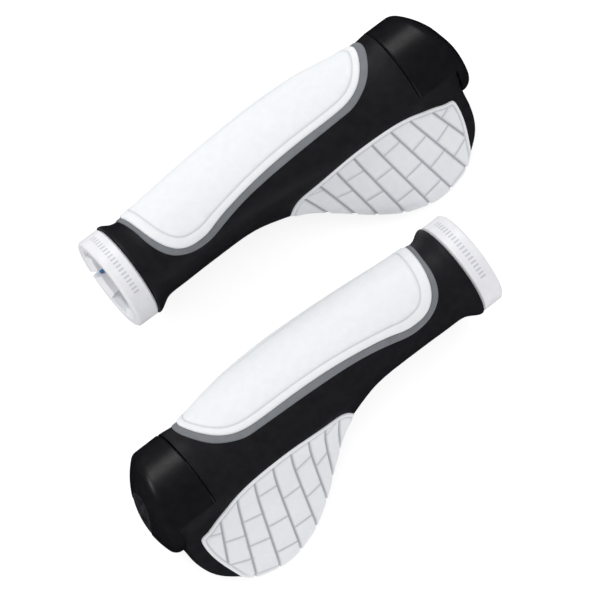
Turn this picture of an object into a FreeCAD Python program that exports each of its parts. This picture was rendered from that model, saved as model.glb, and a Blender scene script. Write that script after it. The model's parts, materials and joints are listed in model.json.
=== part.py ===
import FreeCAD, Part

# A pair of ergonomic lock-on handlebar grips, right hand and left hand.
#
# Millimetres. The origin is on the right grip's bar axis, where its sleeve's full bore begins: X
# runs out along that grip towards its end cap, Y is forwards and Z is up. Both grips lie flat,
# wings towards -Y, on a table SEAT_DEPTH below their axes.
# Every sub-part is drawn for a right grip in section coordinates (x along the bar from the lock
# ring's mouth, w towards the palm wing, z up) and then turned to +Y forwards; the left grip is
# its mirror image.

import math
import os

from FreeCAD import Vector

# ---- driving dimensions -------------------------------------------------------------------
BAR_RADIUS = 11.1            # 22.2 mm handlebar
BORE_RADIUS = BAR_RADIUS + 0.05
SLEEVE_RADIUS = 12.2
SLEEVE_START = 8.2           # where the full bore begins; the fingers reach further into the ring
SLEEVE_END = 127.2
SEAT_DEPTH = 17.0            # flange, end cap and wing tip all reach down to the table

RING_RADIUS = 16.6
RING_WIDTH = 8.0
RING_CHAMFER = 0.7
RING_LAND_RADIUS = BORE_RADIUS   # clamping lands inside the ring
RING_MOUTH_RADIUS = 13.7
RING_MOUTH_DEPTH = 1.5
RING_GAP = 0.3               # between the ring and the rubber flange
SLOT_WIDTH = 2.2
SLOT_ANGLE = -128.0          # around the bar, from the wing side over the top
FINGER_COUNT = 3
FINGER_ANGLE = 36.0
FINGER_RADIUS = 13.0
FINGER_START = 2.4
FINGER_ROOT = 1.2            # how far each finger runs into the barrel
FINGER_CLEARANCE = 0.15
FINGER_SIDE_CLEARANCE = 0.8  # degrees

SCREW_RADIUS = 1.5           # M3 socket-head cap screw
SCREW_HEAD_RADIUS = 2.5
SCREW_HEAD_HEIGHT = 2.6
SCREW_HEAD_CHAMFER = 0.3
SCREW_SOCKET_WIDTH = 2.5     # across flats
SCREW_SOCKET_DEPTH = 1.6
SCREW_LENGTH = 10.0
SCREW_HOLE_LENGTH = 12.0
SCREW_SEAT_DEPTH = 2.2       # from the slot's wall to the seat of the screw's head
SCREW_OFFSET = 14.0          # from the bar axis to the screw axis
SCREW_CLEARANCE = 0.1
PATCH_THICKNESS = 0.25
PATCH_END_GAP = 0.25         # between the patch and each wall of the slot

BODY_START = RING_WIDTH + RING_GAP
BODY_END = 131.0
WING_ANGLE = -20.5           # direction in which the wing leaves the bar, below horizontal
WING_TIP_RADIUS = 3.2
WING_HUB_RADIUS = 12.6
WING_BLEND = 10.0            # exponent of the smooth union of tube and wing
TUBE_EXPONENT = 2.3          # 2 is an ellipse
PLATE_HALF_THICKNESS = 0.7
PLATE_INSET = 5.0            # from the centre of the wing's round tip
PLATE_STATIONS = [78, 84, 90, 97, 106, 114, 120]

TOP_PAD_PROUD = 0.9
TOP_PAD_DEPTH = 0.7
TRIM_PROUD = 0.35
PALM_PAD_PROUD = 0.6
PALM_PAD_DEPTH = 1.2

CAP_RADIUS = SEAT_DEPTH
CAP_OFFSET = 1.1             # cap centre, towards the wing
CAP_START = 116.2
CAP_BORE_RADIUS = 12.35
CAP_BORE_END = 128.0
CAP_GAP = 0.3                # seam between the cap and the rubber
CAP_SECTOR_FROM = -82.0      # the skirt leaves this sector open for the wing
CAP_SECTOR_TO = 35.0
CAP_SECTOR_CLEARANCE = 1.0   # degrees, on each side of the wing
CAP_DISC_START = 131.3       # where the disc closes the open sector
CAP_APEX = 137.0
CAP_DOME_RADIUS = 28.9
CAP_DOME_OFFSET = 6.6        # dome centre, towards the wing
CAP_EDGE_RADIUS = 3.5
CAP_SEAM_BEVEL = 0.5
BADGE_LENGTH = 22.0
BADGE_WIDTH = 14.0
BADGE_OFFSET = 1.0           # badge centre, towards the wing
BADGE_RECESS = 0.8
BADGE_THICKNESS = 0.6
BADGE_CLEARANCE = 0.15
BADGE_FROM = 125.0           # the badge's cutter is drawn out from here

BEYOND = 60.0                # radius of cutters that reach clear of the grip
PRISM_DEPTH = 40.0           # length of cutters drawn out from the bar's axis
PAST_END = 145.0             # past the end cap
OVERLAP = 1.0                # how far a cutter runs past the faces it opens

LEFT_MOUTH = Vector(98.0 - SLEEVE_START, -64.0, 0)
LEFT_YAW = 0.7               # degrees, the left grip's turn on the table

SECTION_STATIONS = [
    BODY_START, 9.4, 10.8, 12.4, 14.5, 18, 24, 32, 40, 47, 54, 60, 66, 72, 78, 84, 90, 96,
    101, 106, 111, 115.5, 119.5, 123, 126, 128.6, BODY_END,
]
SECTION_POINTS = 48
SECTION_START = 1 / 3        # fraction of a turn from the underside seam to the wing's tip


# ---- outer shape of the rubber ------------------------------------------------------------
def guide(points):
    """A smooth curve through (x, value) points that never overshoots them."""
    xs = [point[0] for point in points]
    ys = [point[1] for point in points]
    slopes = [(ys[i + 1] - ys[i]) / (xs[i + 1] - xs[i]) for i in range(len(xs) - 1)]
    tangents = [slopes[0]]
    for before, after in zip(slopes, slopes[1:]):
        same_way = before * after > 0
        tangents.append(2 * before * after / (before + after) if same_way else 0.0)
    tangents.append(slopes[-1])

    def value(x):
        x = min(max(x, xs[0]), xs[-1])
        i = max(j for j in range(len(slopes)) if xs[j] <= x)
        span = xs[i + 1] - xs[i]
        s = (x - xs[i]) / span
        rise = 3 * s * s - 2 * s ** 3
        leave = (s ** 3 - 2 * s * s + s) * span
        arrive = (s ** 3 - s * s) * span
        return ys[i] + (ys[i + 1] - ys[i]) * rise + leave * tangents[i] + arrive * tangents[i + 1]

    return value


FLARE = [(8.3, 16.9), (9.5, 16.7), (12, 15.2)]
front_reach = guide(FLARE + [
    (15, 14.8), (22, 15.2), (40, 16.7), (56, 17.9), (72, 18.7), (86, 18.2), (98, 16.6),
    (105, 15.3), (110, 14.7), (114.5, 15.3), (131, 15.3),
])
rear_reach = guide(FLARE + [
    (15, 14.2), (22, 13.9), (48, 13.3), (64, 14.7), (80, 16.8), (98, 17.3), (112, 16.8),
    (122, 16.2), (131, 16.2),
])
top_reach = guide(FLARE + [
    (15, 14.3), (22, 14.0), (60, 13.9), (98, 13.6), (107, 14.2), (114, 16.2), (131, 16.2),
])
bottom_reach = guide(FLARE + [(15, 14.4), (22, 14.2), (98, 14.4), (114, 16.0), (131, 16.0)])
wing_reach = guide([
    (8.3, 0), (38, 6.0), (48, 9.4), (56, 11.8), (66, 15.8), (76, 23.0), (86, 30.8), (96, 36.2),
    (106, 38.3), (116, 36.5), (124, 31.6), (128.5, 27.0), (131, 20.5),
])


def smooth_step(x, start, end):
    s = min(1.0, max(0.0, (x - start) / (end - start)))
    return s * s * (3 - 2 * s)


def tube_radius(x, angle):
    """Radius of the grip without its wing: a full ellipse with four different half axes."""
    across = rear_reach(x) if math.cos(angle) > 0 else front_reach(x)
    upright = top_reach(x) if math.sin(angle) > 0 else bottom_reach(x)
    power = 2 + (TUBE_EXPONENT - 2) * smooth_step(x, 12, 32)
    total = abs(math.cos(angle) / across) ** power + abs(math.sin(angle) / upright) ** power
    return total ** (-1 / power)


def wing_radius(x, angle):
    """Radius of the hull around the bar hub and the round tip of the wing."""
    reach = wing_reach(x)
    turn = abs((angle - math.radians(WING_ANGLE) + math.pi) % (2 * math.pi) - math.pi)
    if reach <= WING_HUB_RADIUS - WING_TIP_RADIUS:
        return WING_HUB_RADIUS
    normal = math.pi / 2 - math.asin((WING_HUB_RADIUS - WING_TIP_RADIUS) / reach)
    if turn >= normal:
        return WING_HUB_RADIUS
    flank_end = math.atan2(
        WING_TIP_RADIUS * math.sin(normal), reach + WING_TIP_RADIUS * math.cos(normal)
    )
    if turn >= flank_end:
        return WING_HUB_RADIUS / math.cos(turn - normal)
    inside = WING_TIP_RADIUS ** 2 - (reach * math.sin(turn)) ** 2
    return reach * math.cos(turn) + math.sqrt(max(0.0, inside))


def outer_radius(x, angle):
    tube = tube_radius(x, angle)
    wing = wing_radius(x, angle)
    union = (tube ** WING_BLEND + wing ** WING_BLEND) ** (1 / WING_BLEND)
    return tube + (union - tube) * smooth_step(x, 34, 54)


def section_point(x, angle, offset):
    """Point of the section at x, moved out by offset along the section's normal."""
    step = 0.01
    before, here, after = (
        (outer_radius(x, a) * math.cos(a), outer_radius(x, a) * math.sin(a))
        for a in (angle - step, angle, angle + step)
    )
    along_w = after[0] - before[0]
    along_z = after[1] - before[1]
    length = math.hypot(along_w, along_z)
    return Vector(x, here[0] + offset * along_z / length, here[1] - offset * along_w / length)


def section_angle(i):
    """Angles around the section from its underside, closer together at the wing's tip."""
    turn = 2 * math.pi * (i / SECTION_POINTS - SECTION_START)
    return math.radians(WING_ANGLE) + turn - 0.72 * math.sin(turn)


def section_wire(x, offset):
    points = [section_point(x, section_angle(i), offset) for i in range(SECTION_POINTS)]
    parameters = [i / SECTION_POINTS for i in range(SECTION_POINTS + 1)]
    curve = Part.BSplineCurve()
    curve.interpolate(Points=points, PeriodicFlag=True, Parameters=parameters)
    return Part.Wire(curve.toShape())


def grip_solid(offset):
    return Part.makeLoft([section_wire(x, offset) for x in SECTION_STATIONS], True)


# ---- small helpers ------------------------------------------------------------------------
def radial(angle_degrees):
    angle = math.radians(angle_degrees)
    return Vector(0, math.cos(angle), math.sin(angle))


def cylinder(radius, start, end):
    return Part.makeCylinder(radius, end - start, Vector(start, 0, 0), Vector(1, 0, 0))


def tube(inner, outer, start, end):
    return cylinder(outer, start, end).cut(cylinder(inner, start - OVERLAP, end + OVERLAP))


def sector(radius, start, end, angle_from, angle_to):
    """Wedge of a cylinder around the bar axis between two angles."""
    low = radial(angle_from) * radius
    high = radial(angle_to) * radius
    middle = radial((angle_from + angle_to) / 2) * radius
    shift = Vector(start, 0, 0)
    edges = [
        Part.LineSegment(shift, shift + low).toShape(),
        Part.Arc(shift + low, shift + middle, shift + high).toShape(),
        Part.LineSegment(shift + high, shift).toShape(),
    ]
    return Part.Face(Part.Wire(edges)).extrude(Vector(end - start, 0, 0))


def face_inside(curve, corners):
    """Face inside the curve and the straight runs between the corners that close it."""
    edges = [curve.toShape()]
    for start, end in zip(corners, corners[1:]):
        edges.append(Part.LineSegment(start, end).toShape())
    return Part.Face(Part.Wire(edges))


def prism(points, straight, normal_angle):
    """Outline given as (x, side) in the plane whose normal is normal_angle, drawn outwards.

    A smooth curve runs through points; straight holds the corners that close the outline.
    """
    side = radial(normal_angle - 90)
    placed = [Vector(x, 0, 0) + side * s for x, s in points]
    corners = [placed[-1]] + [Vector(x, 0, 0) + side * s for x, s in straight] + [placed[0]]
    curve = Part.BSplineCurve()
    curve.interpolate(placed)
    return face_inside(curve, corners).extrude(radial(normal_angle) * PRISM_DEPTH)


def only_solid(shape):
    """The largest solid of a boolean result, as one clean solid."""
    solid = max(shape.Solids, key=lambda piece: piece.Volume)
    return solid.removeSplitter()


# ---- pad outlines -------------------------------------------------------------------------
TOP_PAD_NORMAL = 112.0
TOP_PAD_EDGE = [
    (15.9, 152), (16.2, 138), (17.2, 107), (18.1, 92), (20.0, 74), (22.5, 62), (26.3, 54),
    (30.3, 52.3), (34.0, 53.5), (38.3, 58.3), (48.0, 66.7), (62.6, 74), (82.0, 77.3), (91.5, 78.3),
    (95.6, 80.3), (99.0, 84.5), (102.3, 92), (105.2, 102.5), (107.9, 117), (109.4, 130),
    (109.8, 141), (109.4, 152),
]
TOP_PAD_REST = [(108.0, 168), (105.4, 179), (101.5, 184), (23.5, 184), (18.6, 179), (16.3, 170)]
TRIM_EDGE = [
    (14.3, 156), (14.6, 139), (15.5, 112), (16.6, 84), (19.2, 62.5), (22.5, 51), (26.3, 44.5),
    (30.3, 42.2), (34.5, 43.2), (39.0, 48), (48.0, 57), (62.0, 63.8), (82.0, 67.7), (92.0, 69.2),
    (96.5, 71.0), (100.0, 76), (103.5, 83.5), (107.0, 95), (109.7, 108.5), (111.4, 120),
    (112.1, 131), (112.0, 142), (111.4, 154),
]
TRIM_REST = [(109.8, 170), (107.2, 182), (102.5, 189), (22.5, 189), (16.6, 184), (14.5, 172)]

PALM_PAD_EDGE = [
    (61.4, -17), (62.6, -8), (65.0, 2.7), (70.0, 12.5), (77.2, 20), (85.5, 24.2), (95, 25.4),
    (104, 23.8), (110.6, 19.5), (115.5, 13.5), (120, 8.5), (123.8, 4.5),
]
PALM_PAD_OUTER = [(125.9, 17.9), (126.5, 20.4), (126.2, 24.0), (125.2, 28.0), (122.2, 35.6)]
PALM_PAD_REST = [(119.6, 42), (106, 48), (78, 38), (61, 22)]


def edge_points(edge, normal_angle):
    """Turns (x, angle round the bar) on the rubber into (x, side) in a pad's own plane."""
    turn = math.radians(normal_angle - 90)
    points = []
    for x, degrees in edge:
        angle = math.radians(degrees)
        points.append((x, outer_radius(x, angle) * math.cos(angle - turn)))
    return points


def top_pad_prism():
    points = edge_points(TOP_PAD_EDGE, TOP_PAD_NORMAL)
    return prism(points, edge_points(TOP_PAD_REST, TOP_PAD_NORMAL), TOP_PAD_NORMAL)


def trim_prism():
    points = edge_points(TRIM_EDGE, TOP_PAD_NORMAL)
    return prism(points, edge_points(TRIM_REST, TOP_PAD_NORMAL), TOP_PAD_NORMAL)


def palm_pad_prism():
    normal = WING_ANGLE + 90
    visible = edge_points(PALM_PAD_EDGE, normal) + PALM_PAD_OUTER
    return prism(visible, PALM_PAD_REST, normal)


# ---- sub-parts of one grip ----------------------------------------------------------------
def finger_sectors(clearance):
    half = FINGER_ANGLE / 2 + clearance
    pitch = 360 / FINGER_COUNT
    first = SLOT_ANGLE + pitch / 2
    shape = None
    for i in range(FINGER_COUNT):
        middle = first + i * pitch
        wedge = sector(BEYOND, -OVERLAP, BODY_START + FINGER_ROOT, middle - half, middle + half)
        shape = wedge if shape is None else shape.fuse(wedge)
    return shape


def wing_plate():
    """Stiffening plate that the sleeve carries inside the wing."""
    side = radial(WING_ANGLE)
    outer = [Vector(x, 0, 0) + side * (wing_reach(x) - PLATE_INSET) for x in PLATE_STATIONS]
    curve = Part.BSplineCurve()
    curve.interpolate(outer)
    hub = SLEEVE_RADIUS - 0.5
    corners = [outer[-1], Vector(PLATE_STATIONS[-1], 0, 0) + side * hub]
    corners += [Vector(PLATE_STATIONS[0], 0, 0) + side * hub, outer[0]]
    normal = radial(WING_ANGLE + 90)
    face = face_inside(curve, corners)
    face.translate(normal * -PLATE_HALF_THICKNESS)
    return face.extrude(normal * (2 * PLATE_HALF_THICKNESS))


def core_sleeve():
    barrel = cylinder(SLEEVE_RADIUS, SLEEVE_START, SLEEVE_END)
    fingers = tube(BORE_RADIUS, FINGER_RADIUS, FINGER_START, BODY_START + FINGER_ROOT)
    fingers = fingers.common(finger_sectors(0))
    shape = barrel.fuse(fingers).fuse(wing_plate())
    return only_solid(shape.cut(cylinder(BORE_RADIUS, 0, PAST_END)))


def cap_envelope(gap):
    """Space the cap takes out of the rubber, with the seam gap around it."""
    whole = cylinder(BEYOND, CAP_START - gap, PAST_END)
    start = CAP_START - gap - OVERLAP
    low = CAP_SECTOR_FROM + CAP_SECTOR_CLEARANCE
    high = CAP_SECTOR_TO - CAP_SECTOR_CLEARANCE
    return whole.cut(sector(BEYOND, start, CAP_DISC_START - gap, low, high))


def rubber_body(outer, sleeve, trim_space, palm_space):
    shape = outer.cut(cylinder(SLEEVE_RADIUS, 0, PAST_END))
    shape = shape.cut(sleeve)
    shape = shape.cut(trim_space)
    shape = shape.cut(palm_space)
    shape = shape.cut(cap_envelope(CAP_GAP))
    return only_solid(shape)


def lock_ring():
    ring = cylinder(RING_RADIUS, 0, RING_WIDTH)
    rims = [edge for edge in ring.Edges if len(edge.Vertexes) == 1]
    ring = ring.makeChamfer(RING_CHAMFER, rims)
    ring = ring.cut(cylinder(RING_LAND_RADIUS, -OVERLAP, RING_WIDTH + OVERLAP))
    cone = Part.makeCone(
        RING_MOUTH_RADIUS, RING_LAND_RADIUS, RING_MOUTH_DEPTH, Vector(0, 0, 0), Vector(1, 0, 0)
    )
    ring = ring.cut(cone)
    notch_radius = FINGER_RADIUS + FINGER_CLEARANCE
    notches = cylinder(notch_radius, -OVERLAP, RING_WIDTH + OVERLAP)
    ring = ring.cut(notches.common(finger_sectors(FINGER_SIDE_CLEARANCE)))
    ring = ring.cut(slot_cutter())
    head_space = SCREW_HEAD_RADIUS + SCREW_CLEARANCE
    base, direction = screw_axis()
    hole_radius = SCREW_RADIUS + SCREW_CLEARANCE
    ring = ring.cut(Part.makeCylinder(hole_radius, SCREW_HOLE_LENGTH, base, direction))
    ring = ring.cut(Part.makeCylinder(head_space, RING_RADIUS, base, direction * -1))
    return only_solid(ring)


def slot_cutter():
    side = radial(SLOT_ANGLE)
    across = radial(SLOT_ANGLE + 90)
    corner = across * (SLOT_WIDTH / -2) - Vector(OVERLAP, 0, 0)
    points = [
        corner,
        corner + side * BEYOND,
        corner + side * BEYOND + across * SLOT_WIDTH,
        corner + across * SLOT_WIDTH,
        corner,
    ]
    return Part.Face(Part.makePolygon(points)).extrude(Vector(RING_WIDTH + 2 * OVERLAP, 0, 0))


def screw_axis():
    """Where the head meets its seat, and the direction from the head to the tip."""
    across = radial(SLOT_ANGLE + 90)
    seat = radial(SLOT_ANGLE) * SCREW_OFFSET - across * (SLOT_WIDTH / 2 + SCREW_SEAT_DEPTH)
    return seat + Vector(RING_WIDTH / 2, 0, 0), across


def clamp_screw():
    base, direction = screw_axis()
    head = Part.makeCylinder(SCREW_HEAD_RADIUS, SCREW_HEAD_HEIGHT, base, direction * -1)
    rim = [edge for edge in head.Edges if len(edge.Vertexes) == 1]
    rim = max(rim, key=lambda edge: (edge.CenterOfMass - base).dot(direction * -1))
    head = head.makeChamfer(SCREW_HEAD_CHAMFER, [rim])
    shank = Part.makeCylinder(SCREW_RADIUS, SCREW_LENGTH, base, direction)
    screw = head.fuse(shank)
    corner_radius = SCREW_SOCKET_WIDTH / 2 / math.cos(math.pi / 6)
    top = base - direction * SCREW_HEAD_HEIGHT
    up = Vector(1, 0, 0)
    sideways = direction.cross(up)
    corners = []
    for i in range(7):
        angle = i * math.pi / 3
        corners.append(top + (up * math.cos(angle) + sideways * math.sin(angle)) * corner_radius)
    socket = Part.Face(Part.makePolygon(corners)).extrude(direction * SCREW_SOCKET_DEPTH)
    return only_solid(screw.cut(socket))


def thread_patch():
    """Blue nylon locking patch on the thread where it crosses the ring's slot."""
    base, direction = screw_axis()
    start = base + direction * (SCREW_SEAT_DEPTH + PATCH_END_GAP)
    length = SLOT_WIDTH - 2 * PATCH_END_GAP
    outside = Part.makeCylinder(SCREW_RADIUS + PATCH_THICKNESS, length, start, direction)
    return outside.cut(Part.makeCylinder(SCREW_RADIUS, length, start, direction))


def cap_blank():
    body = cylinder(CAP_RADIUS, CAP_START, PAST_END)
    body.translate(Vector(0, CAP_OFFSET, 0))
    centre = Vector(CAP_APEX - CAP_DOME_RADIUS, CAP_DOME_OFFSET, 0)
    body = body.common(Part.makeSphere(CAP_DOME_RADIUS, centre))
    dome_edges = [edge for edge in body.Edges if edge.BoundBox.XMin > CAP_BORE_END - CAP_EDGE_RADIUS]
    body = body.makeFillet(CAP_EDGE_RADIUS, dome_edges)
    seam = [edge for edge in body.Edges if edge.BoundBox.XMax < CAP_START + CAP_SEAM_BEVEL]
    return body.makeChamfer(CAP_SEAM_BEVEL, seam)


def badge_prism(shrink):
    centre = Vector(BADGE_FROM, BADGE_OFFSET, 0)
    oval = Part.Ellipse(centre, BADGE_LENGTH / 2 - shrink, BADGE_WIDTH / 2 - shrink)
    oval.Axis = Vector(1, 0, 0)
    oval.AngleXU = 0
    return Part.Face(Part.Wire(oval.toShape())).extrude(Vector(PAST_END - BADGE_FROM, 0, 0))


def dome_inset(depth):
    centre = Vector(CAP_APEX - CAP_DOME_RADIUS, CAP_DOME_OFFSET, 0)
    return Part.makeSphere(CAP_DOME_RADIUS - depth, centre)


def end_cap():
    cap = cap_blank()
    start = CAP_START - OVERLAP
    cap = cap.cut(cylinder(CAP_BORE_RADIUS, start, CAP_BORE_END))
    cap = cap.cut(sector(BEYOND, start, CAP_DISC_START, CAP_SECTOR_FROM, CAP_SECTOR_TO))
    cap = cap.cut(badge_prism(0).cut(dome_inset(BADGE_RECESS)))
    return only_solid(cap)


def cap_badge():
    badge = badge_prism(BADGE_CLEARANCE).common(dome_inset(BADGE_RECESS - BADGE_THICKNESS))
    return only_solid(badge.cut(dome_inset(BADGE_RECESS)))


def grip_pieces():
    outer = grip_solid(0)
    sleeve = core_sleeve()
    inside_top_pad = top_pad_prism()
    inside_trim = trim_prism()
    inside_palm_pad = palm_pad_prism()
    floor = grip_solid(-TOP_PAD_DEPTH)
    top_pad = grip_solid(TOP_PAD_PROUD).common(inside_top_pad).cut(floor)
    trim = grip_solid(TRIM_PROUD).common(inside_trim).cut(floor).cut(inside_top_pad)
    palm_floor = grip_solid(-PALM_PAD_DEPTH)
    palm_pad = grip_solid(PALM_PAD_PROUD).common(inside_palm_pad).cut(palm_floor)
    trim_space = inside_trim.cut(floor)
    palm_space = inside_palm_pad.cut(palm_floor)
    return {
        "core_sleeve": sleeve,
        "rubber_body": rubber_body(outer, sleeve, trim_space, palm_space),
        "trim_frame": only_solid(trim),
        "top_pad": only_solid(top_pad),
        "palm_pad": only_solid(palm_pad),
        "lock_ring": lock_ring(),
        "clamp_screw": clamp_screw(),
        "thread_patch": thread_patch(),
        "end_cap": end_cap(),
        "cap_badge": cap_badge(),
    }


# ---- placing the pair ---------------------------------------------------------------------
def to_right(shape):
    """Section coordinates have w towards the wing; the world has Y forwards."""
    placed = shape.mirror(Vector(0, 0, 0), Vector(0, 1, 0))
    placed.translate(Vector(-SLEEVE_START, 0, 0))
    return placed


def to_left(shape):
    """The mirror image of the right grip: half a turn of the section coordinates."""
    placed = shape.copy()
    placed.rotate(Vector(0, 0, 0), Vector(0, 0, 1), 180 + LEFT_YAW)
    placed.translate(LEFT_MOUTH)
    return placed


def main():
    os.makedirs("parts", exist_ok=True)
    for name, shape in grip_pieces().items():
        for side, place in (("right", to_right), ("left", to_left)):
            placed = place(shape)
            print(side, name, "valid", placed.isValid(), "volume", round(placed.Volume, 1))
            placed.exportStep(f"parts/{side}_{name}.step")


main()
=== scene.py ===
import json
import math

import bpy
import numpy as np
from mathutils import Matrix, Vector
from mathutils.geometry import delaunay_2d_cdt


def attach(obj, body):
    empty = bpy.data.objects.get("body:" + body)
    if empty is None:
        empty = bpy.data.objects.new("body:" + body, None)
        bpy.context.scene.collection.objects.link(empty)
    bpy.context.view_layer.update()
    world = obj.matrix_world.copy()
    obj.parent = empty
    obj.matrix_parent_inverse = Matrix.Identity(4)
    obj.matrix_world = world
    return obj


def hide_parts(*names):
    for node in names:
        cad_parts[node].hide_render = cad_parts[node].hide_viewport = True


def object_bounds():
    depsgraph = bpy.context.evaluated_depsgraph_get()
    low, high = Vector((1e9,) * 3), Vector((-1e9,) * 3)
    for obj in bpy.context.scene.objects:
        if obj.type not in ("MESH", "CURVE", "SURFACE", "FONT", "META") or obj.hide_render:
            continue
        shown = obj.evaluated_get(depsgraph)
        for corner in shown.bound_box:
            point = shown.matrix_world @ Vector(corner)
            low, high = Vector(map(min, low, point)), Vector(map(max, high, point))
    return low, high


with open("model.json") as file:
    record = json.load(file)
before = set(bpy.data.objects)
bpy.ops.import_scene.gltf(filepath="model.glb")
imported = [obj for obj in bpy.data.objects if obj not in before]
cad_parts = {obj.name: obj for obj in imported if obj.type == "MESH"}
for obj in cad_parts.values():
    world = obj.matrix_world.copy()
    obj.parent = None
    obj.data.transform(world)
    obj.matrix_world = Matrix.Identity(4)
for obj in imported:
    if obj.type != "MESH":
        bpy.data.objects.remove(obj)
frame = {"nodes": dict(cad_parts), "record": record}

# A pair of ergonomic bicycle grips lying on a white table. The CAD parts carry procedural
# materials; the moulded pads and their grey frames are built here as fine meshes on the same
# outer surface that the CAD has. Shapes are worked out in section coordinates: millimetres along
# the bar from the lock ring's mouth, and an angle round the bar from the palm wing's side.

cad_low, cad_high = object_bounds()

MM = 0.001
SIDES = ("right", "left")

# ---- the rubber's outer surface, as in the CAD source -------------------------------------
BODY_START = 8.3
BODY_END = 131.0
WING_ANGLE = math.radians(-20.5)
WING_TIP_RADIUS = 3.2
WING_HUB_RADIUS = 12.6
WING_BLEND = 10.0
TUBE_EXPONENT = 2.3
SLEEVE_START = 8.2


def guide(points):
    """A smooth curve through (x, value) points that never overshoots them."""
    xs, ys = np.array(points, float).T
    slopes = np.diff(ys) / np.diff(xs)
    product = slopes[:-1] * slopes[1:]
    total = np.where(product > 0, slopes[:-1] + slopes[1:], 1.0)
    inner = np.where(product > 0, 2 * product / total, 0.0)
    tangents = np.concatenate([slopes[:1], inner, slopes[-1:]])

    def value(x):
        x = np.clip(x, xs[0], xs[-1])
        i = np.clip(np.searchsorted(xs, x, side="right") - 1, 0, len(slopes) - 1)
        span = xs[i + 1] - xs[i]
        s = (x - xs[i]) / span
        rise = 3 * s ** 2 - 2 * s ** 3
        leave = (s ** 3 - 2 * s ** 2 + s) * span * tangents[i]
        arrive = (s ** 3 - s ** 2) * span * tangents[i + 1]
        return ys[i] + (ys[i + 1] - ys[i]) * rise + leave + arrive

    return value


FLARE = [(8.3, 16.9), (9.5, 16.7), (12, 15.2)]
front_reach = guide(FLARE + [
    (15, 14.8), (22, 15.2), (40, 16.7), (56, 17.9), (72, 18.7), (86, 18.2), (98, 16.6),
    (105, 15.3), (110, 14.7), (114.5, 15.3), (131, 15.3),
])
rear_reach = guide(FLARE + [
    (15, 14.2), (22, 13.9), (48, 13.3), (64, 14.7), (80, 16.8), (98, 17.3), (112, 16.8),
    (122, 16.2), (131, 16.2),
])
top_reach = guide(FLARE + [
    (15, 14.3), (22, 14.0), (60, 13.9), (98, 13.6), (107, 14.2), (114, 16.2), (131, 16.2),
])
bottom_reach = guide(FLARE + [(15, 14.4), (22, 14.2), (98, 14.4), (114, 16.0), (131, 16.0)])
wing_reach = guide([
    (8.3, 0), (38, 6.0), (48, 9.4), (56, 11.8), (66, 15.8), (76, 23.0), (86, 30.8), (96, 36.2),
    (106, 38.3), (116, 36.5), (124, 31.6), (128.5, 27.0), (131, 20.5),
])


def smooth_step(x, start, end):
    s = np.clip((x - start) / (end - start), 0, 1)
    return s * s * (3 - 2 * s)


def tube_radius(x, angle):
    across = np.where(np.cos(angle) > 0, rear_reach(x), front_reach(x))
    upright = np.where(np.sin(angle) > 0, top_reach(x), bottom_reach(x))
    power = 2 + (TUBE_EXPONENT - 2) * smooth_step(x, 12, 32)
    total = np.abs(np.cos(angle) / across) ** power + np.abs(np.sin(angle) / upright) ** power
    return total ** (-1 / power)


def wing_radius(x, angle):
    """Radius of the hull around the bar hub and the round tip of the wing."""
    step_in = WING_HUB_RADIUS - WING_TIP_RADIUS
    reach = wing_reach(x)
    out = np.maximum(reach, step_in + 1e-6)
    turn = np.abs((angle - WING_ANGLE + math.pi) % (2 * math.pi) - math.pi)
    normal = math.pi / 2 - np.arcsin(step_in / out)
    flank_end = np.arctan2(
        WING_TIP_RADIUS * np.sin(normal), out + WING_TIP_RADIUS * np.cos(normal)
    )
    inside = np.maximum(0, WING_TIP_RADIUS ** 2 - (out * np.sin(turn)) ** 2)
    tip = out * np.cos(turn) + np.sqrt(inside)
    flank = WING_HUB_RADIUS / np.cos(np.clip(turn - normal, -1.5, 0))
    hull = np.where(turn >= flank_end, flank, tip)
    return np.where((turn >= normal) | (reach <= step_in), WING_HUB_RADIUS, hull)


def outer_radius(x, angle):
    tube = tube_radius(x, angle)
    wing = wing_radius(x, angle)
    union = (tube ** WING_BLEND + wing ** WING_BLEND) ** (1 / WING_BLEND)
    return tube + (union - tube) * smooth_step(x, 34, 54)


def surface_points(x, angle, offset):
    """Points (x, w, z) of the surface, moved out by offset along the section's normal."""
    step = 0.01
    rings = [(outer_radius(x, a), a) for a in (angle - step, angle, angle + step)]
    w = [radius * np.cos(a) for radius, a in rings]
    z = [radius * np.sin(a) for radius, a in rings]
    along_w = w[2] - w[0]
    along_z = z[2] - z[0]
    length = np.hypot(along_w, along_z)
    return np.stack([x, w[1] + offset * along_z / length, z[1] - offset * along_w / length], -1)


# ---- placing section coordinates in the frame ---------------------------------------------
def grip_axes(side):
    """Mouth of the lock ring, direction out along the grip, and direction of the wing."""
    mounts = {mount["name"]: mount for mount in frame["record"]["mounts"]}
    bore = mounts[side + "_bar_bore"]
    along = -Vector(bore["axis"]).normalized()
    mouth = Vector(bore["pos_m"]) - along * SLEEVE_START * MM
    wing = Vector((along.y, -along.x, 0)) * (1 if side == "right" else -1)
    return mouth, along, wing


def to_frame(side, points):
    mouth, along, wing = grip_axes(side)
    x, w, z = (np.asarray(points, float) * MM).T
    return (
        np.array(mouth)
        + np.outer(x, np.array(along))
        + np.outer(w, np.array(wing))
        + np.outer(z, np.array((0, 0, 1)))
    )


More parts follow.
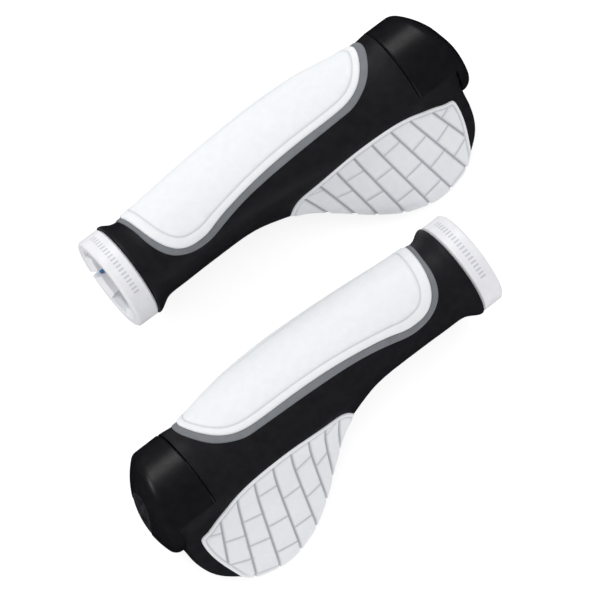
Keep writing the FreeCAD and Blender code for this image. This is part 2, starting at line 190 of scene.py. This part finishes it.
# ---- outlines of the pads, as in the CAD source: (x, degrees round the bar) ----------------
TOP_PAD_NORMAL = math.radians(112)
TOP_PAD_EDGE = [
    (15.9, 152), (16.2, 138), (17.2, 107), (18.1, 92), (20.0, 74), (22.5, 62), (26.3, 54),
    (30.3, 52.3), (34.0, 53.5), (38.3, 58.3), (48.0, 66.7), (62.6, 74), (82.0, 77.3), (91.5, 78.3),
    (95.6, 80.3), (99.0, 84.5), (102.3, 92), (105.2, 102.5), (107.9, 117), (109.4, 130),
    (109.8, 141), (109.4, 152),
]
TOP_PAD_REST = [(108.0, 168), (105.4, 179), (101.5, 184), (23.5, 184), (18.6, 179), (16.3, 170)]
TRIM_EDGE = [
    (14.3, 156), (14.6, 139), (15.5, 112), (16.6, 84), (19.2, 62.5), (22.5, 51), (26.3, 44.5),
    (30.3, 42.2), (34.5, 43.2), (39.0, 48), (48.0, 57), (62.0, 63.8), (82.0, 67.7), (92.0, 69.2),
    (96.5, 71.0), (100.0, 76), (103.5, 83.5), (107.0, 95), (109.7, 108.5), (111.4, 120),
    (112.1, 131), (112.0, 142), (111.4, 154),
]
TRIM_REST = [(109.8, 170), (107.2, 182), (102.5, 189), (22.5, 189), (16.6, 184), (14.5, 172)]
PALM_PAD_NORMAL = WING_ANGLE + math.pi / 2
PALM_PAD_EDGE = [
    (61.4, -17), (62.6, -8), (65.0, 2.7), (70.0, 12.5), (77.2, 20), (85.5, 24.2), (95, 25.4),
    (104, 23.8), (110.6, 19.5), (115.5, 13.5), (120, 8.5), (123.8, 4.5),
]
PALM_TIP_START = 61.4        # where the palm pad's edge runs along the wing's tip
PALM_TIP_END = 121.2
PALM_PAD_OUTER = [(125.9, 17.9), (126.5, 20.4), (126.2, 24.0), (125.2, 28.0), (122.2, 35.6)]


OUTLINE_STEP = 0.6
CHART_STEP = 0.5             # millimetres along the bar, and degrees round it


def spline(points):
    """Evenly spaced points on the smooth curve through points."""
    points = np.array(points, float)
    chords = np.linalg.norm(np.diff(points, axis=0), axis=1)
    at = np.concatenate([[0], np.cumsum(chords)])
    slopes = np.diff(points, axis=0) / chords[:, None]
    last = len(points) - 1
    system = np.eye(last + 1)
    bends = np.zeros((last + 1, points.shape[1]))
    for i in range(1, last):
        system[i, i - 1:i + 2] = chords[i - 1], 2 * (chords[i - 1] + chords[i]), chords[i]
        bends[i] = 6 * (slopes[i] - slopes[i - 1])
    curve = np.linalg.solve(system, bends)
    t = np.linspace(0, at[-1], round(at[-1] / OUTLINE_STEP) + 1)
    i = np.clip(np.searchsorted(at, t, side="right") - 1, 0, last - 1)
    span = chords[i][:, None]
    s = (t - at[i])[:, None]
    rest = span - s
    cubic = (curve[i] * rest ** 3 + curve[i + 1] * s ** 3) / (6 * span)
    left = points[i] / span - curve[i] * span / 6
    right = points[i + 1] / span - curve[i + 1] * span / 6
    return cubic + left * rest + right * s


def straight_runs(corners):
    """Evenly spaced points on the straight runs between corners, without the two ends."""
    corners = np.array(corners, float)
    points = []
    for start, end in zip(corners, corners[1:]):
        count = max(1, round(np.linalg.norm(end - start) / OUTLINE_STEP))
        points.append(start + (end - start) * np.linspace(0, 1, count, endpoint=False)[:, None])
    return np.vstack(points)[1:]


def to_plane(points, normal):
    """(x, degrees) on the rubber as (x, side) in the plane that has this normal."""
    x, degrees = np.array(points, float).T
    angle = np.radians(degrees)
    return np.stack([x, outer_radius(x, angle) * np.cos(angle - normal + math.pi / 2)], -1)


def angles_at(x, side, normal):
    """Angle round the bar at which the surface has this x and side."""
    low = np.full(len(x), normal - math.pi / 2)
    high = np.full(len(x), normal + math.pi / 2)
    for _ in range(40):
        middle = (low + high) / 2
        reached = outer_radius(x, middle) * np.cos(middle - normal + math.pi / 2)
        low = np.where(reached > side, middle, low)
        high = np.where(reached > side, high, middle)
    return (low + high) / 2


class Chart:
    """The surface unrolled: u along the bar, v along the section from a middle angle."""

    def __init__(self, angle_from, angle_to, middle):
        self.xs = np.arange(BODY_START, BODY_END + CHART_STEP, CHART_STEP)
        self.angles = np.radians(np.arange(angle_from, angle_to + CHART_STEP, CHART_STEP))
        radius = outer_radius(self.xs[:, None], self.angles[None, :])
        w = radius * np.cos(self.angles)
        z = radius * np.sin(self.angles)
        steps = np.hypot(np.diff(w, axis=1), np.diff(z, axis=1))
        arcs = np.concatenate([np.zeros((len(self.xs), 1)), np.cumsum(steps, axis=1)], axis=1)
        centre = int(round((middle - angle_from) / CHART_STEP))
        self.arcs = arcs - arcs[:, centre:centre + 1]

    def rows(self, x):
        t = np.clip((x - BODY_START) / CHART_STEP, 0, len(self.xs) - 1.001)
        i = t.astype(int)
        t = (t - i)[:, None]
        return self.arcs[i] * (1 - t) + self.arcs[i + 1] * t

    def unroll(self, x, angle):
        rows = self.rows(x)
        t = np.clip((angle - self.angles[0]) / (self.angles[1] - self.angles[0]), 0, None)
        j = np.minimum(t.astype(int), len(self.angles) - 2)
        t = t - j
        n = np.arange(len(x))
        return np.stack([x, rows[n, j] * (1 - t) + rows[n, j + 1] * t], -1)

    def angle(self, uv):
        rows = self.rows(uv[:, 0])
        j = np.clip((rows < uv[:, 1:2]).sum(axis=1) - 1, 0, len(self.angles) - 2)
        n = np.arange(len(uv))
        t = (uv[:, 1] - rows[n, j]) / (rows[n, j + 1] - rows[n, j])
        return self.angles[j] + t * (self.angles[1] - self.angles[0])


# ---- patches: closed pieces that lie on the surface ----------------------------------------
def distance_to(points, line, closed=False):
    """Distance of every point to a polyline."""
    start = line if closed else line[:-1]
    end = np.roll(line, -1, axis=0) if closed else line[1:]
    step = end - start
    length = np.maximum((step ** 2).sum(axis=1), 1e-12)
    nearest = np.full(len(points), np.inf)
    for first in range(0, len(points), 2000):
        gap = points[first:first + 2000, None, :] - start[None]
        t = np.clip((gap * step).sum(axis=2) / length, 0, 1)
        found = np.hypot(*np.moveaxis(gap - t[..., None] * step, 2, 0)).min(axis=1)
        nearest[first:first + 2000] = found
    return nearest


def inside(points, loop):
    """Even-odd test of points against a closed loop."""
    end = np.roll(loop, -1, axis=0)
    found = np.zeros(len(points), bool)
    for (ax, ay), (bx, by) in zip(loop, end):
        if ay == by:
            continue
        crosses = (ay > points[:, 1]) != (by > points[:, 1])
        found ^= crosses & (points[:, 0] < ax + (points[:, 1] - ay) * (bx - ax) / (by - ay))
    return found


def moved_in(loop, distance):
    """The loop's points, moved to its inside, and a mask that is false for those that would come
    too near it.
    """
    along = np.roll(loop, -1, axis=0) - np.roll(loop, 1, axis=0)
    along /= np.linalg.norm(along, axis=1)[:, None]
    area = (loop[:, 0] * np.roll(loop[:, 1], -1) - loop[:, 1] * np.roll(loop[:, 0], -1)).sum()
    turn = 1 if area > 0 else -1
    moved = loop + np.stack([-along[:, 1], along[:, 0]], -1) * distance * turn
    good = distance_to(moved, loop, closed=True) > distance * 0.98
    return moved, good & inside(moved, loop)


def triangulate(outline, hole, rings, lines, spacing):
    """Triangles inside outline and outside hole, with edges along the rings and lines."""
    points = [tuple(p) for p in outline]
    edges = []
    count = len(points)
    face = list(range(count))

    def add_line(line, keep, closed):
        first = len(points)
        points.extend(tuple(p) for p in line)
        last = len(line) if closed else len(line) - 1
        for i in range(last):
            j = (i + 1) % len(line)
            if keep[i] and keep[j]:
                edges.append((first + i, first + j))

    for loop in [outline] + ([hole] if hole is not None else []):
        for distance in rings:
            moved, good = moved_in(loop, distance)
            add_line(moved, good, True)
    if hole is not None:
        add_line(hole, np.ones(len(hole), bool), True)
    for line in lines:
        add_line(line, inside(line, outline), False)
    used = {i for edge in edges for i in edge}
    low = outline.min(axis=0)
    high = outline.max(axis=0)
    grid = []
    row_height = spacing * math.sqrt(3) / 2
    for row in range(int((high[1] - low[1]) / row_height) + 1):
        shift = spacing / 2 if row % 2 else 0
        y = low[1] + row * row_height
        grid.extend((x, y) for x in np.arange(low[0] + shift, high[0], spacing))
    grid = np.array(grid)
    keep = inside(grid, outline) & (distance_to(grid, outline, closed=True) > max(rings) + 0.3)
    if lines:
        keep &= np.min([distance_to(grid, line) for line in lines], axis=0) > 0.25
    kept = [i < count or i in used for i in range(len(points))]
    number = {}
    final = []
    for i, point in enumerate(points):
        if kept[i]:
            number[i] = len(final)
            final.append(point)
    final.extend(tuple(p) for p in grid[keep])
    edges = [(number[i], number[j]) for i, j in edges]
    found = delaunay_2d_cdt([Vector(p) for p in final], edges, [face], 1, 1e-4)
    vertices = np.array([tuple(v) for v in found[0]])
    triangles = np.array([tuple(f) for f in found[2]])
    if hole is not None:
        middle = vertices[triangles].mean(axis=1)
        triangles = triangles[~inside(middle, hole)]
        used = np.unique(triangles)
        renumber = np.zeros(len(vertices), int)
        renumber[used] = np.arange(len(used))
        vertices = vertices[used]
        triangles = renumber[triangles]
    corners = vertices[triangles]
    span = corners[:, 1:] - corners[:, :1]
    area = span[:, 0, 0] * span[:, 1, 1] - span[:, 0, 1] * span[:, 1, 0]
    triangles[area < 0] = triangles[area < 0][:, ::-1]
    return vertices, triangles


def closed_patch(uv, triangles, chart, heights, depth, painted_shade_amounts):
    """Section points, faces and painted shade amounts of a patch: its face, underside and the wall
    between.
    """
    angle = chart.angle(uv)
    x = uv[:, 0]
    top = surface_points(x, angle, heights)
    bottom = surface_points(x, angle, np.full(len(x), -depth))
    count = len(uv)
    edges = {}
    for a, b, c in triangles:
        for edge in ((a, b), (b, c), (c, a)):
            edges[edge] = edges.get((edge[1], edge[0]), 0) + 1
            if edges[edge] == 2:
                del edges[edge]
                del edges[(edge[1], edge[0])]
    faces = [tuple(t) for t in triangles]
    faces += [tuple(count + i for i in reversed(t)) for t in triangles]
    faces += [(b, a, count + a, count + b) for a, b in edges]
    return np.vstack([top, bottom]), faces, np.concatenate([painted_shade_amounts, np.zeros(count)])


def add_piece(name, side, shape, material, body, node):
    """A closed mesh in section coordinates, as a piece that stands for a CAD node."""
    points, faces, painted_shade_amounts = shape
    mesh = bpy.data.meshes.new(name)
    flip = side == "right"
    faces = [tuple(reversed(f)) if flip else f for f in faces]
    mesh.from_pydata(to_frame(side, points).tolist(), [], [[int(i) for i in f] for f in faces])
    mesh.shade_smooth()
    mesh.materials.append(material)
    # Per-point painted shade amounts, read by the pad materials to darken grooves and lines.
    mesh.attributes.new("painted_shade", "FLOAT", "POINT").data.foreach_set("value", painted_shade_amounts)
    piece = bpy.data.objects.new(name, mesh)
    bpy.context.scene.collection.objects.link(piece)
    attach(piece, body)
    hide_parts(node)


# ---- materials ----------------------------------------------------------------------------
def srgb(red, green, blue):
    """Linear colour of an sRGB one given as 0 to 255."""
    values = []
    for value in (red, green, blue):
        value /= 255
        values.append(value / 12.92 if value <= 0.04045 else ((value + 0.055) / 1.055) ** 2.4)
    return (*values, 1)


class Paint:
    """A node material in the making."""

    def __init__(self, name):
        self.material = bpy.data.materials.new(name)
        self.material.use_nodes = True
        self.tree = self.material.node_tree
        self.shader = self.tree.nodes["Principled BSDF"]
        self.coordinates = self.node("ShaderNodeTexCoord").outputs["Object"]

    def node(self, kind, **values):
        made = self.tree.nodes.new(kind)
        for key, value in values.items():
            if key in made.inputs:
                made.inputs[key].default_value = value
            else:
                setattr(made, key, value)
        return made

    def link(self, output, target):
        self.tree.links.new(output, target)

    def set(self, **values):
        for key, value in values.items():
            self.shader.inputs[key.replace("_", " ")].default_value = value

    def noise(self, size, detail):
        """Noise with blotches about size metres across."""
        made = self.node("ShaderNodeTexNoise", Scale=1 / size, Detail=detail)
        self.link(self.coordinates, made.inputs["Vector"])
        return made.outputs["Fac"]

    def mapped(self, value, low, high, to_low, to_high):
        made = self.node("ShaderNodeMapRange")
        limits = {"From Min": low, "From Max": high, "To Min": to_low, "To Max": to_high}
        for key, number in limits.items():
            made.inputs[key].default_value = number
        self.link(value, made.inputs["Value"])
        return made.outputs["Result"]

    def colour_between(self, factor, first, second):
        """Mix of two colours, each a value or another node's output."""
        made = self.node("ShaderNodeMix", data_type="RGBA")
        for colour, target in ((first, made.inputs[6]), (second, made.inputs[7])):
            if isinstance(colour, tuple):
                target.default_value = colour
            else:
                self.link(colour, target)
        self.link(factor, made.inputs[0])
        return made.outputs[2]

    def math(self, operation, *values):
        made = self.node("ShaderNodeMath", operation=operation)
        for value, target in zip(values, made.inputs):
            if isinstance(value, (int, float)):
                target.default_value = value
            else:
                self.link(value, target)
        return made.outputs[0]

    def vector_math(self, operation, vector, other):
        made = self.node("ShaderNodeVectorMath", operation=operation)
        self.link(vector, made.inputs[0])
        made.inputs[1].default_value = other
        return made.outputs["Value" if operation == "DOT_PRODUCT" else "Vector"]

    def bump(self, height, depth):
        made = self.node("ShaderNodeBump", Strength=1.0, Distance=depth)
        self.link(height, made.inputs["Height"])
        self.link(made.outputs["Normal"], self.shader.inputs["Normal"])

    def colour(self, output):
        self.link(output, self.shader.inputs["Base Color"])

    def roughness(self, output):
        self.link(output, self.shader.inputs["Roughness"])


def moulded(name, dark, light, rough, grain_size, grain_depth, gloss=0.5, painted_shade=None):
    """Moulded elastomer or plastic: fine grain, faint mottling, uneven gloss, painted shade in
    grooves.
    """
    paint = Paint(name)
    mottle = paint.noise(0.003, detail=3)
    colour = paint.colour_between(paint.mapped(mottle, 0.3, 0.7, 0, 1), dark, light)
    # Painted shade: the colour is mixed towards the given grey by a per-point groove depth on the
    # mesh, standing in for the shade in grooves and moulded lines.
    if painted_shade:
        depth = paint.node("ShaderNodeAttribute", attribute_name="painted_shade").outputs["Fac"]
        colour = paint.colour_between(depth, colour, painted_shade)
    paint.colour(colour)
    grain = paint.noise(grain_size, detail=2)
    paint.roughness(paint.mapped(grain, 0.3, 0.7, rough - 0.05, rough + 0.05))
    paint.bump(grain, grain_depth)
    paint.set(Specular_IOR_Level=gloss)
    return paint


TICK_PITCH = math.radians(5.0)
TICKS_FROM = math.radians(47.5)
TICKS_TO = math.radians(142.5)
TICK_SHARE = 0.45            # of the pitch that is printed
TICK_BAND = (3.0, 5.0)       # millimetres from the ring's mouth


def ticked_ring(side):
    """The white ring's coat, with a band of faint grey ticks round its top."""
    light = srgb(246, 246, 249)
    paint = moulded(f"white_ring_{side}", srgb(240, 240, 245), light, 0.35, 0.0004, 0.000008)
    mouth, along, wing = grip_axes(side)
    place = paint.vector_math("SUBTRACT", paint.coordinates, mouth)
    x = paint.vector_math("DOT_PRODUCT", place, along)
    w = paint.vector_math("DOT_PRODUCT", place, wing)
    z = paint.vector_math("DOT_PRODUCT", place, (0, 0, 1))
    angle = paint.math("ARCTAN2", z, w)
    phase = paint.math("FRACT", paint.math("DIVIDE", angle, TICK_PITCH))
    marks = [
        paint.math("LESS_THAN", phase, TICK_SHARE),
        paint.math("GREATER_THAN", angle, TICKS_FROM),
        paint.math("LESS_THAN", angle, TICKS_TO),
        paint.math("GREATER_THAN", x, TICK_BAND[0] * MM),
        paint.math("LESS_THAN", x, TICK_BAND[1] * MM),
    ]
    printed = marks[0]
    for mark in marks[1:]:
        printed = paint.math("MULTIPLY", printed, mark)
    coat = paint.shader.inputs["Base Color"].links[0].from_socket
    paint.colour(paint.colour_between(printed, coat, srgb(208, 209, 217)))
    return paint


def make_materials():
    steel = moulded("steel", srgb(120, 120, 124), srgb(150, 150, 154), 0.32, 0.0003, 0.00001)
    steel.set(Metallic=1.0)
    made = {
        "black_rubber": moulded(
            "black_rubber", srgb(27, 26, 31), srgb(33, 32, 37), 0.5, 0.0006, 0.00003, 0.35
        ),
        "grey_rubber": moulded(
            "grey_rubber", srgb(122, 125, 129), srgb(128, 131, 136), 0.6, 0.0006, 0.00003, 0.3
        ),
        "white_pad": moulded(
            "white_pad", srgb(241, 244, 247), srgb(245, 247, 249), 0.5, 0.0008, 0.00005,
            # painted shade: grey that the top pad's moulded line is darkened towards
            painted_shade=srgb(196, 200, 204),
        ),
        "palm_pad": moulded(
            "palm_pad", srgb(240, 241, 246), srgb(244, 245, 249), 0.5, 0.0007, 0.00004,
            # painted shade: grey that the palm pad's grooves and rim line are darkened towards
            painted_shade=srgb(192, 194, 201),
        ),
        "right_lock_ring": ticked_ring("right"),
        "left_lock_ring": ticked_ring("left"),
        "nylon": moulded("nylon", srgb(196, 200, 204), srgb(206, 210, 214), 0.4, 0.0005, 0.00001),
        "black_plastic": moulded(
            "black_plastic", srgb(22, 21, 25), srgb(27, 26, 30), 0.36, 0.0007, 0.000006, 0.5
        ),
        "badge": moulded("badge", srgb(24, 24, 27), srgb(52, 52, 56), 0.5, 0.0009, 0.00018),
        "blue_patch": moulded(
            "blue_patch", srgb(52, 112, 168), srgb(70, 130, 180), 0.45, 0.0004, 0.00002
        ),
        "steel": steel,
    }
    return {name: paint.material for name, paint in made.items()}


NODE_MATERIALS = {
    "core_sleeve": "nylon",
    "rubber_body": "black_rubber",
    "clamp_screw": "steel",
    "thread_patch": "blue_patch",
    "end_cap": "black_plastic",
    "cap_badge": "badge",
}


def paint_cad_nodes(materials):
    for name, node in frame["nodes"].items():
        kind = name.split("_", 1)[1]
        material = materials.get(NODE_MATERIALS.get(kind, name))
        if material:
            node.data.materials.clear()
            node.data.materials.append(material)


# ---- the three moulded pieces of each grip -------------------------------------------------
TRIM_HEIGHT = 0.35
TRIM_DEPTH = 0.6
TRIM_EDGE_ROUND = 0.35
TOP_HEIGHT = 0.9
TOP_DEPTH = 0.6
TOP_EDGE_ROUND = 0.7
TOP_RIM_RISE = 0.12
TOP_LINE_SPREAD = 0.3
TOP_LINE_DEPTH = 0.28
TOP_LINE_SHADE = 0.6
TOP_LINE_INSET = 2.5
TOP_LINE_INSET_AT_RING = 1.1  # more than that, towards the ring's end
PALM_HEIGHT = 0.6
PALM_DEPTH = 1.0
PALM_EDGE_ROUND = 0.5


def rounded_edge(distance, radius):
    """Drop of a quarter-round edge at this distance from the outline."""
    s = np.clip(distance / radius, 0, 1)
    return radius * (1 - np.sqrt(1 - (1 - s) ** 2))


def top_line_inset(x):
    """How far inside the pad's edge its moulded line runs, wider at the ring's end."""
    return TOP_LINE_INSET + TOP_LINE_INSET_AT_RING * (1 - smooth_step(x, 22, 46))


def trim_mesh(chart, trim_outline, pad_outline):
    rings = [0.12, 0.3, 0.6]
    uv, triangles = triangulate(trim_outline, pad_outline, rings, [], 0.9)
    edge = distance_to(uv, trim_outline, closed=True)
    heights = TRIM_HEIGHT - rounded_edge(edge, TRIM_EDGE_ROUND)
    return closed_patch(uv, triangles, chart, heights, TRIM_DEPTH, np.zeros(len(uv)))


def top_pad_mesh(chart, outline):
    rings = [0.05, 0.15, 0.3, 0.5, 0.75, 1.2, 1.8]
    line_rings = []
    for step in (-0.5, -0.25, 0, 0.25, 0.5):
        moved, good = moved_in(outline, 1.0)
        inset = top_line_inset(outline[:, 0]) + step
        line = outline + (moved - outline) * inset[:, None]
        near = distance_to(line, outline, closed=True) > inset * 0.97
        for part in np.split(np.arange(len(line)), np.where(~(good & near))[0]):
            if len(part) > 3:
                line_rings.append(line[part[1:]])
    uv, triangles = triangulate(outline, None, rings, line_rings, 1.3)
    edge = distance_to(uv, outline, closed=True)
    inset = top_line_inset(uv[:, 0])
    line = np.exp(-((edge - inset) / TOP_LINE_SPREAD) ** 2)
    rim = TOP_RIM_RISE * (1 - smooth_step(edge, inset - 0.9, inset))
    heights = TOP_HEIGHT - TOP_RIM_RISE + rim - TOP_LINE_DEPTH * line
    heights -= rounded_edge(edge, TOP_EDGE_ROUND)
    # The moulded line also gets painted shade: TOP_LINE_SHADE times its depth profile.
    return closed_patch(uv, triangles, chart, heights, TOP_DEPTH, TOP_LINE_SHADE * line)


# Grooves across the palm pad: (x at the pad's inner edge line, lean towards the end cap).
PALM_GROOVES = [
    (64.0, 0.46), (71.7, 0.34), (79.4, 0.22), (86.8, 0.20), (94.1, 0.22), (101.5, 0.26),
    (108.4, 0.315), (115.1, 0.38),
]
# Short joints between neighbouring grooves, as arc lengths from the inner edge line.
PALM_JOINTS = [
    [7.0], [13.4], [9.5, 19.5], [14.8, 25.1], [8.9, 19.6, 28.5], [13.2, 21.4, 30.9],
    [15.5, 23.2], [10.0],
]
PALM_ARC = 44.0
JOINT_TURN = 0.011
JOINT_LEVEL_AT = 88.0


def palm_lines():
    """Grooves and joints of the palm pad, as lines in its chart (v falls towards the tip)."""
    grooves = []
    for x, lean in PALM_GROOVES:
        arc = np.arange(-2.0, PALM_ARC, 0.8)
        grooves.append(np.stack([x + lean * arc, -arc], -1))
    joints = []
    for i, arcs in enumerate(PALM_JOINTS):
        x, lean = PALM_GROOVES[i]
        after = PALM_GROOVES[i + 1] if i + 1 < len(PALM_GROOVES) else (x + 7.0, lean)
        for arc in arcs:
            start = x + lean * arc
            end = after[0] + after[1] * arc
            along = np.linspace(start, end, 9)
            rise = (JOINT_LEVEL_AT - (start + end) / 2) * JOINT_TURN
            joints.append(np.stack([along, -arc + rise * -(along - (start + end) / 2)], -1))
    return grooves, joints


def beside(line, distance):
    along = np.gradient(line, axis=0)
    along /= np.linalg.norm(along, axis=1)[:, None]
    return line + np.stack([-along[:, 1], along[:, 0]], -1) * distance


GROOVE_FLOOR = 0.16
GROOVE_TOP = 0.62
GROOVE_DEPTH = 0.75
JOINT_FLOOR = 0.1
JOINT_TOP = 0.5
JOINT_DEPTH = 0.4
PALM_RIM = 1.3
PALM_RIM_LINE = 0.45
PALM_RIM_LINE_DEPTH = 0.4
PALM_RIM_STEP = 0.4


def palm_pad_mesh(chart, outline, rim_line):
    grooves, joints = palm_lines()
    lines = []
    for line in grooves:
        lines += [beside(line, d) for d in (-GROOVE_TOP, -GROOVE_FLOOR, GROOVE_FLOOR, GROOVE_TOP)]
    for line in joints:
        lines += [beside(line, d) for d in (-JOINT_TOP, -JOINT_FLOOR, JOINT_FLOOR, JOINT_TOP)]
    rings = [0.05, 0.15, 0.3, 0.5, PALM_RIM - PALM_RIM_STEP, PALM_RIM, PALM_RIM + PALM_RIM_STEP]
    uv, triangles = triangulate(outline, None, rings, lines, 0.9)
    edge = distance_to(uv, outline, closed=True)
    rim = distance_to(uv, rim_line)
    groove = np.min([distance_to(uv, line) for line in grooves], axis=0)
    joint = np.min([distance_to(uv, line) for line in joints], axis=0)
    field = smooth_step(rim, PALM_RIM, PALM_RIM + 0.35)
    cut = GROOVE_DEPTH * (1 - smooth_step(groove, GROOVE_FLOOR, GROOVE_TOP))
    cut = np.maximum(cut, JOINT_DEPTH * (1 - smooth_step(joint, JOINT_FLOOR, JOINT_TOP)))
    line = PALM_RIM_LINE_DEPTH * (1 - smooth_step(np.abs(rim - PALM_RIM), 0.1, PALM_RIM_LINE))
    cut = np.maximum(cut * field, line)
    heights = PALM_HEIGHT - cut - rounded_edge(edge, PALM_EDGE_ROUND)
    # Painted shade: grooves, joints and the rim line are darkened in proportion to how deep they
    # are cut.
    return closed_patch(uv, triangles, chart, heights, PALM_DEPTH, cut / GROOVE_DEPTH)


def on_chart(chart, line, normal):
    """A line of (x, side) points in a pad's plane, unrolled on the chart."""
    return chart.unroll(line[:, 0], angles_at(line[:, 0], line[:, 1], normal))


def closed_outline(chart, edge, rest):
    """Outline of a top piece: a smooth curve along edge, closed by straight runs."""
    curve = spline(to_plane(edge, TOP_PAD_NORMAL))
    corners = [curve[-1], *to_plane(rest, TOP_PAD_NORMAL), curve[0]]
    line = np.vstack([curve, straight_runs(corners)])
    return on_chart(chart, line, TOP_PAD_NORMAL)


def build_pads(materials):
    top_chart = Chart(20, 215, 112)
    pad_outline = closed_outline(top_chart, TOP_PAD_EDGE, TOP_PAD_REST)
    trim_outline = closed_outline(top_chart, TRIM_EDGE, TRIM_REST)

    palm_chart = Chart(-30, 60, 30)
    palm_edge = np.vstack([to_plane(PALM_PAD_EDGE, PALM_PAD_NORMAL), PALM_PAD_OUTER])
    rim_line = on_chart(palm_chart, spline(palm_edge), PALM_PAD_NORMAL)
    tip_x = np.arange(PALM_TIP_END, PALM_TIP_START, -OUTLINE_STEP)
    tip_line = palm_chart.unroll(tip_x, np.full(len(tip_x), WING_ANGLE))
    palm_outline = np.vstack([rim_line, tip_line])

    shapes = {
        "trim_frame": (
            trim_mesh(top_chart, trim_outline, pad_outline), "grey_rubber", "grey_rubber",
        ),
        "top_pad": (top_pad_mesh(top_chart, pad_outline), "white_pad", "white_pad"),
        "palm_pad": (palm_pad_mesh(palm_chart, palm_outline, rim_line), "palm_pad", "white_pad"),
    }
    for side in SIDES:
        for node, (shape, material, slot) in shapes.items():
            add_piece(
                f"{side}_{node}_moulding", side, shape, materials[material],
                side + "_grip", f"{side}_{node}",
            )


# ---- floor, light and camera ---------------------------------------------------------------
FLOOR_HALF = 3.0             # metres
FLOOR_GAP = 0.0002


def make_floor():
    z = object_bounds()[0].z - FLOOR_GAP
    half = FLOOR_HALF
    mesh = bpy.data.meshes.new("floor")
    mesh.from_pydata(
        [(-half, -half, z), (half, -half, z), (half, half, z), (-half, half, z)], [], [(0, 1, 2, 3)]
    )
    paint = Paint("floor_white")
    paint.set(Base_Color=(0.4, 0.4, 0.4, 1), Roughness=0.9, Specular_IOR_Level=0.1)
    paint.set(Emission_Color=(1, 1, 1, 1), Emission_Strength=0.8)
    mesh.materials.append(paint.material)
    floor = bpy.data.objects.new("floor", mesh)
    floor.visible_glossy = False
    bpy.context.scene.collection.objects.link(floor)


def area_light(name, azimuth, elevation, distance, size, power):
    centre = (cad_low + cad_high) / 2
    azimuth, elevation = math.radians(azimuth), math.radians(elevation)
    back = Vector((
        math.sin(azimuth) * math.cos(elevation), -math.cos(azimuth) * math.cos(elevation),
        math.sin(elevation),
    ))
    data = bpy.data.lights.new(name, "AREA")
    data.shape = "DISK"
    data.size = size
    data.energy = power
    light = bpy.data.objects.new(name, data)
    light.location = centre + back * distance
    light.rotation_euler = (-back).to_track_quat("-Z", "Y").to_euler()
    bpy.context.scene.collection.objects.link(light)


CAMERA_AZIMUTH = math.radians(-38.0)
CAMERA_ELEVATION = math.radians(73.9)
CAMERA_DISTANCE = 1.632
CAMERA_TARGET = Vector((0.0388, -0.0400, -0.008))
CAMERA_LENS = 303.4


def make_camera():
    back = Vector((
        math.sin(CAMERA_AZIMUTH) * math.cos(CAMERA_ELEVATION),
        -math.cos(CAMERA_AZIMUTH) * math.cos(CAMERA_ELEVATION),
        math.sin(CAMERA_ELEVATION),
    ))
    data = bpy.data.cameras.new("camera")
    data.lens = CAMERA_LENS
    data.sensor_width = 36.0
    data.clip_end = 20
    camera = bpy.data.objects.new("camera", data)
    camera.location = CAMERA_TARGET + back * CAMERA_DISTANCE
    camera.rotation_euler = (-back).to_track_quat("-Z", "Y").to_euler()
    bpy.context.scene.collection.objects.link(camera)
    bpy.context.scene.camera = camera


def make_light():
    scene = bpy.context.scene
    scene.view_settings.view_transform = "Standard"
    world = bpy.data.worlds.new("studio")
    world.use_nodes = True
    background = world.node_tree.nodes["Background"]
    background.inputs["Color"].default_value = (1, 1, 1, 1)
    background.inputs["Strength"].default_value = 0.8
    scene.world = world
    world.cycles_visibility.glossy = False
    area_light("softbox", 166, 46, 1.6, 0.8, 3.4)
    area_light("rim", -140, 45, 1.2, 0.5, 2.0)


def main():
    materials = make_materials()
    paint_cad_nodes(materials)
    build_pads(materials)
    make_floor()
    make_light()
    make_camera()


main()
